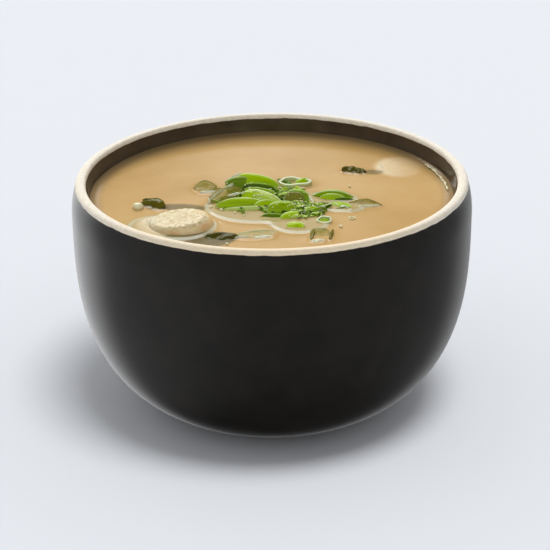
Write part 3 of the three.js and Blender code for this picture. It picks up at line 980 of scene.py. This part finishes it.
for *middle, radius in FREE_DROPS:
    add_drop(froth_and_highlight_bm, Vector(middle) * MM, radius * MM)
for bubble in BUBBLES:
    add_bubble(froth_and_highlight_bm, *bubble)
for degrees in WALL_HIGHLIGHT_ANGLES:
    turn = radians(degrees)
    outwards = Vector((cos(turn), sin(turn), 0)) * WALL_HIGHLIGHT_RADIUS
    step = Vector((-outwards.y, outwards.x, 0)) * random.uniform(*WALL_HIGHLIGHT_LENGTHS)
    middle = outwards + Vector((0, 0, WALL_HIGHLIGHT_HEIGHT + random.uniform(*WALL_HIGHLIGHT_RISE)))
    width = random.uniform(*WALL_HIGHLIGHT_WIDTHS)
    add_strip(froth_and_highlight_bm, middle + step, middle - step, width, WALL_HIGHLIGHT_ROLL, steps=BIT_STEPS)
add_piece("froth_drops_and_painted_highlights", froth_and_highlight_bm, froth_and_painted_highlight, "broth")

# %% [markdown]
# ## The broth
# Its top is nearly flat, but water clings: it climbs the wall, climbs to each thing that floats in it,
# and stays up in a low skirt round the heap. Those slopes are only half a millimetre high, yet they
# mirror the lamp behind the bowl, so they are real relief in a fine grid, and a pale line is painted on
# them as well, a painted highlight of the lamp, most of it at the front. What hangs just under the
# surface shows as a shade in the cloudy broth, so each point of the grid looks straight down to see how
# deep it is.

# %% The skirt round the heap
SKIRT_HEIGHT = 0.42 * MM
SKIRT_REACH = 1.3 * MM
SKIRT_BLEND = 1.4 * MM
SKIRT_SHRINK = 0.7 * MM
# The pale line on the skirt's slope is a painted highlight of the lamp behind, most of it at the front.
HIGHLIGHT_OUT = 0.5 * MM
HIGHLIGHT_HALF_WIDTH = 0.8 * MM
HIGHLIGHT_EDGE = 4
HIGHLIGHT_FADE = (6 * MM, -6 * MM)
SMALLEST_SHARE = 0.05
# Ovals whose outline the skirt follows: x, y, half length, half width in mm, and turn in degrees.
SKIRT_OVALS = [
    (-5.6, -12.6, 14.6, 11.8, -12),
    (8.2, -24.6, 8.6, 8.4, -20),
    (-5.6, 0.0, 9.0, 5.2, -38),
    (8.0, -8.0, 9.0, 8.0, 0),
    (18.6, -4.2, 7.6, 3.4, -8),
    (20.6, -12.4, 7.4, 3.6, -12),
    (7.2, 7.4, 5.8, 3.6, 0),
]
GLUTEN_OVALS = [(-27.6, -27.0, 9.9, 9.6, 0), (-33.4, -27.0, 8.8, 7.8, 0)]


def beyond_oval(x, y, oval):
    """How far a point in metres lies outside an oval in mm."""
    centre_x, centre_y, half_length, half_width, turn = oval
    offset = Vector((x / MM - centre_x, y / MM - centre_y))
    offset.rotate(Matrix.Rotation(-radians(turn), 2))
    share = Vector((offset.x / half_length, offset.y / half_width)).length
    return offset.length * (1 - 1 / max(share, SMALLEST_SHARE)) * MM


def beyond_skirt(x, y):
    """How far a point lies outside the skirt."""
    shares = sum(exp(-beyond_oval(x, y, oval) / SKIRT_BLEND) for oval in SKIRT_OVALS)
    round_heap = SKIRT_SHRINK - SKIRT_BLEND * log(shares)
    return min(round_heap, *(beyond_oval(x, y, oval) for oval in GLUTEN_OVALS))


def skirt_share(x, y):
    """1 inside the skirt, falling off round it."""
    return exp(-max(beyond_skirt(x, y), 0) / SKIRT_REACH)


def painted_highlight_share(x, y):
    """1 on the painted highlight, a pale line along the skirt's slope, most of it at the front."""
    off_line = (beyond_skirt(x, y) - HIGHLIGHT_OUT) / HIGHLIGHT_HALF_WIDTH
    return exp(-(off_line**HIGHLIGHT_EDGE)) * share_between(y, *HIGHLIGHT_FADE)


print(f"the skirt follows {len(SKIRT_OVALS) + len(GLUTEN_OVALS)} ovals")

# %% Rise of the broth
SOUP_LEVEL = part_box("broth")[1].z
WET_BAND = (-0.25 * MM, 0.8 * MM)
WALL_RISE = 0.7 * MM
WALL_REACH = 1.1 * MM
RISE_BLEND = 3
# What the broth climbs to, how high it climbs and how far out.
CLINGS = [
    ([heap_leaf, heap_core], 0.35 * MM, 0.8 * MM),
    ([*single.values(), heap_skins], 0.3 * MM, 0.7 * MM),
    ([wakame["left"], wakame["back"]], 0.35 * MM, 0.8 * MM),
    ([gluten_slices["front"]], 0.3 * MM, 1.0 * MM),
]


def wet_tree(pieces):
    """A search tree of the pieces' points that lie near the level of the broth."""
    points = [vert.co for piece in pieces for vert in piece.data.vertices]
    wet = [point for point in points if WET_BAND[0] < point.z - SOUP_LEVEL < WET_BAND[1]]
    tree = KDTree(len(wet))
    for index, point in enumerate(wet):
        tree.insert((point.x, point.y, 0), index)
    tree.balance()
    return tree


trees = [(wet_tree(pieces), height, reach) for pieces, height, reach in CLINGS]


def rise(x, y):
    """How far the broth stands above its level at a point."""
    from_wall = wall_inside(SOUP_LEVEL) - hypot(x, y)
    parts = [WALL_RISE * exp(-max(from_wall, 0) / WALL_REACH), SKIRT_HEIGHT * skirt_share(x, y)]
    for tree, height, reach in trees:
        distance = tree.find((x, y, 0))[2]
        parts.append(height * exp(-distance / reach))
    return sum(part**RISE_BLEND for part in parts) ** (1 / RISE_BLEND)


print(f"the broth climbs {rise(wall_inside(SOUP_LEVEL), 0) / MM:.2f} mm up the wall")

# %% Broth surface
WALL_OVERLAP = 0.4 * MM
GRID_STEP = 0.36 * MM
surface_radius = wall_inside(SOUP_LEVEL) + WALL_OVERLAP
broth_bm = bmesh.new()
for name in ("weed", "pale", "leaf", "skirt", "froth_and_painted_highlight"):
    broth_bm.verts.layers.float.new(name)
layers = broth_bm.verts.layers.float
cells = round(2 * surface_radius / GRID_STEP)
bmesh.ops.create_grid(broth_bm, x_segments=cells, y_segments=cells, size=surface_radius)
beyond = [vert for vert in broth_bm.verts if vert.co.length > surface_radius]
bmesh.ops.delete(broth_bm, geom=beyond, context="VERTS")
for vert in broth_bm.verts:
    if vert.is_boundary:
        vert.co = vert.co.normalized() * surface_radius
    vert[layers["skirt"]] = skirt_share(vert.co.x, vert.co.y)
    # The pale line on the skirt is a painted highlight.
    vert[layers["froth_and_painted_highlight"]] = painted_highlight_share(vert.co.x, vert.co.y)
    vert.co.z = SOUP_LEVEL + rise(vert.co.x, vert.co.y)
print(f"{len(broth_bm.verts)} points on the broth's surface")

# %% What shows through the broth
# How deep a thing can lie before little of it shows.
CLEARNESS = {"weed": 1.5 * MM, "pale": 0.7 * MM, "leaf": 1.2 * MM}
SUNK = {"weed": wakame.values(), "pale": gluten_slices.values(), "leaf": [heap_core, heap_leaf]}
SOFTEN_ROUNDS = 2


def tree_of(piece):
    """A search tree of one piece's faces."""
    points = [vert.co for vert in piece.data.vertices]
    return BVHTree.FromPolygons(points, [polygon.vertices for polygon in piece.data.polygons])


for name, pieces in SUNK.items():
    layer = layers[name]
    face_trees = [tree_of(piece) for piece in pieces]
    for vert in broth_bm.verts:
        start = Vector((vert.co.x, vert.co.y, BOWL_HEIGHT))
        tops = [tree.ray_cast(start, DOWN)[0] for tree in face_trees]
        tops = [top.z for top in tops if top]
        if tops:
            depth = max(vert.co.z - max(tops), 0)
            vert[layer] = exp(-depth / CLEARNESS[name])
    for _ in range(SOFTEN_ROUNDS):
        around = [[edge.other_vert(vert)[layer] for edge in vert.link_edges] for vert in broth_bm.verts]
        for vert, values in zip(broth_bm.verts, around):
            vert[layer] = sum(values) / len(values)
print("shades of what hangs in the broth:", ", ".join(SUNK))

# %% Broth body
BODY_STEP = 9
edge_ring = [edge for edge in broth_bm.edges if edge.is_boundary]
start_height, end_radius = WELL_FLOOR_HEIGHT - WALL_OVERLAP, WELL_RADIUS + WALL_OVERLAP
below = belly_curve(WELL_FLOOR_RADIUS, start_height, end_radius, BELLY_HEIGHT)
for ring_radius, ring_height in below[:0:-BODY_STEP]:
    made = bmesh.ops.extrude_edge_only(broth_bm, edges=edge_ring)["geom"]
    edge_ring = [item for item in made if isinstance(item, bmesh.types.BMEdge)]
    for vert in [item for item in made if isinstance(item, bmesh.types.BMVert)]:
        vert.co = vert.co.xy.normalized().to_3d() * ring_radius + Vector((0, 0, ring_height))
bmesh.ops.edgeloop_fill(broth_bm, edges=edge_ring)
print(f"the broth is {(SOUP_LEVEL - below[0][1]) / MM:.0f} mm deep")

# %% [markdown]
# Miso is a paste of beans stirred into stock, so the soup is a cloudy tan. Open broth carries a faint
# skin that blurs what it mirrors, and round the heap it is clear. Along the wall the broth is darkened
# with painted shade, widest at the back, where it stands for the shadow that the back wall casts on it.

# %% Broth finish
CLOUD = 26 * MM
OPEN_ROUGHNESS, CLEAR_ROUGHNESS = 0.13, 0.05
# What each shade is of, its colour and how much of it shows at most.
SHADES = [
    ("skirt", "a0965c", 0.58),
    ("pale", "ead6b0", 0.95),
    ("leaf", "98a04c", 0.6),
    ("weed", "505030", 1.0),
    # The pale line on the skirt is a painted highlight of the lamp.
    ("froth_and_painted_highlight", "d2d2b8", 0.6),
]
# The colour of the painted shade that the wall casts on the broth.
WALL_SHADOW_COLOUR = "4c4436"
# Painted shade of the wall on the broth. Each ring is the shift of its circle to the front, the radii
# where it starts and ends, and its strength.
PAINTED_SHADE_RINGS = [
    (0.0, surface_radius - 5 * MM, surface_radius, 0.55),
    (10 * MM, surface_radius - 4 * MM, surface_radius + 10 * MM, 0.6),
]
miso, shader = new_material("cloudy_miso_broth", Specular_IOR_Level=0.13)
place = node(miso, "TexCoord").outputs["Object"]
cloud = node(miso, "TexNoise", {"Vector": place}, Scale=1 / CLOUD, Detail=5.0)
cloud_stops = [(0.3, "c19c5f"), (0.5, "caa468"), (0.7, "d0ac71")]
tint = node(miso, "ValToRGB", {"Fac": cloud}, cloud_stops)
covers = []
for name, colour, most in SHADES:
    shown = node(miso, "Attribute", attribute_name=name).outputs["Fac"]
    covers.append((node(miso, "MapRange", {"Value": shown}, To_Max=most), colour))
# Each ring paints shade on the broth along the wall, the shifted one widest at the back.
for shift, start, end, most in PAINTED_SHADE_RINGS:
    ring = {"Value": from_axis(miso, place, shift), "From Min": start, "From Max": end, "To Max": most}
    covers.append((node(miso, "MapRange", ring, interpolation_type="SMOOTHSTEP"), WALL_SHADOW_COLOUR))
for cover, colour in covers:
    tint = node(miso, "Mix", {0: cover, 6: tint, 7: linear(colour)}, data_type="RGBA")
link(miso, tint, shader, "Base Color")
clear = node(miso, "Attribute", attribute_name="skirt").outputs["Fac"]
gloss = node(miso, "MapRange", {"Value": clear}, To_Min=OPEN_ROUGHNESS, To_Max=CLEAR_ROUGHNESS)
link(miso, gloss, shader, "Roughness")
add_piece("miso_broth", broth_bm, miso, "broth", "broth")

# %% Finish
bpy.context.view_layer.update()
